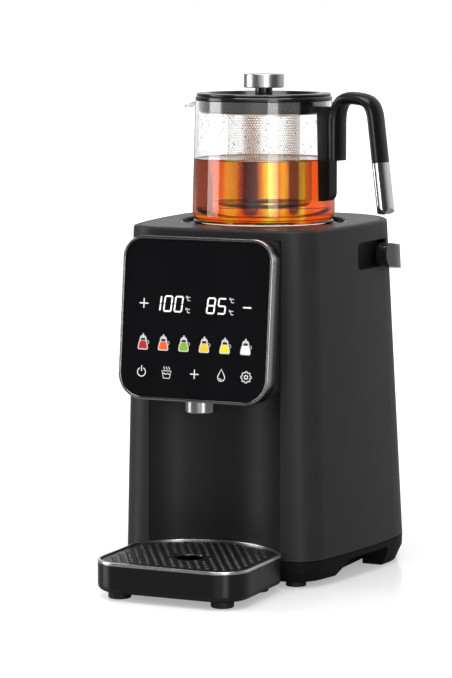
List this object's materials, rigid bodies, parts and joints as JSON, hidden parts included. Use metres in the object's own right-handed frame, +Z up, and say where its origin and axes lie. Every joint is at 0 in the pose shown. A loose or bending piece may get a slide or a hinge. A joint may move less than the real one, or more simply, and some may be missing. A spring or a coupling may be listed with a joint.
{
  "type": "automatic tea maker",
  "caption": "Countertop tea maker with a glass teapot on a heated deck, a touch panel over a cup niche, a drip tray and a rear water tank.",
  "frame": {"origin": "on the floor, under the middle of the bounding box of the whole object", "axes": "+Z up; the touch panel, the outlet and the drip tray face -Y; the teapot handle points to +X"},
  "size_m": [0.2365, 0.3228, 0.4219],
  "materials": {
    "body_black": "satin",
    "column_black": "satin",
    "deck_black": "satin",
    "inner_plastic": "matte",
    "black_gloss": "gloss",
    "tray_black": "semi gloss",
    "bezel_metal": "polished",
    "panel_black": "gloss",
    "board_green": "satin",
    "chrome": "polished",
    "steel": "brushed",
    "plate_coat": "satin",
    "grille_coat": "satin",
    "silicone": "matte",
    "black_rubber": "matte",
    "clear_glass": "clear"
  },
  "bodies": {
    "body": {"body_shell": "body_black", "splash_column": "column_black", "base_skirt": "body_black", "top_deck": "deck_black", "bay_bulkhead": "inner_plastic", "body_feet": "black_rubber", "recess_dish": "black_gloss", "warming_plate": "plate_coat", "plate_seal": "silicone", "heater_element": "steel", "plate_thermostat": "steel", "panel_housing": "column_black", "panel_bezel": "bezel_metal", "panel_glass": "panel_black", "display_board": "board_green", "display_modules": "inner_plastic", "touch_pads": "silicone", "outlet_nozzle": "chrome", "outlet_tip": "black_rubber", "tank_dock": "inner_plastic", "water_pump": "inner_plastic", "pump_mounts": "black_rubber", "water_heater": "steel", "heater_bracket": "steel", "temperature_sensor": "steel", "inlet_hose": "silicone", "feed_hose": "silicone", "outlet_hose": "silicone", "power_board": "board_green", "board_components": "inner_plastic", "mains_inlet": "inner_plastic", "case_screws": "steel"},
    "teapot": {"pot_glass": "clear_glass", "handle_post": "black_gloss", "handle_grip": "black_gloss", "handle_tip": "chrome"},
    "infuser": {"infuser_collar": "black_gloss", "infuser_basket": "steel"},
    "lid": {"lid_disc": "black_gloss", "lid_seal": "silicone", "lid_knob": "chrome", "knob_screw": "steel"},
    "tray": {"drip_tray": "tray_black", "tray_trim": "bezel_metal", "tray_feet": "black_rubber"},
    "grille": {"tray_grille": "grille_coat"},
    "tank": {"water_tank": "body_black", "tank_lid": "inner_plastic", "tank_valve": "silicone", "tank_grip": "black_gloss"}
  },
  "joints": [
    {"name": "teapot_lift", "type": "slide", "parent": "body", "child": "teapot", "axis": [0, 0, 1], "range_m": [0, 0.15]},
    {"name": "infuser_lift", "type": "slide", "parent": "teapot", "child": "infuser", "axis": [0, 0, 1], "range_m": [0, 0.12]},
    {"name": "lid_lift", "type": "slide", "parent": "infuser", "child": "lid", "axis": [0, 0, 1], "range_m": [0, 0.08]},
    {"name": "tray_slide", "type": "slide", "parent": "body", "child": "tray", "axis": [0, -1, 0], "range_m": [0, 0.18]},
    {"name": "grille_lift", "type": "slide", "parent": "tray", "child": "grille", "axis": [0, 0, 1], "range_m": [0, 0.06]},
    {"name": "tank_slide", "type": "slide", "parent": "body", "child": "tank", "axis": [0, 1, 0], "range_m": [0, 0.16]}
  ]
}
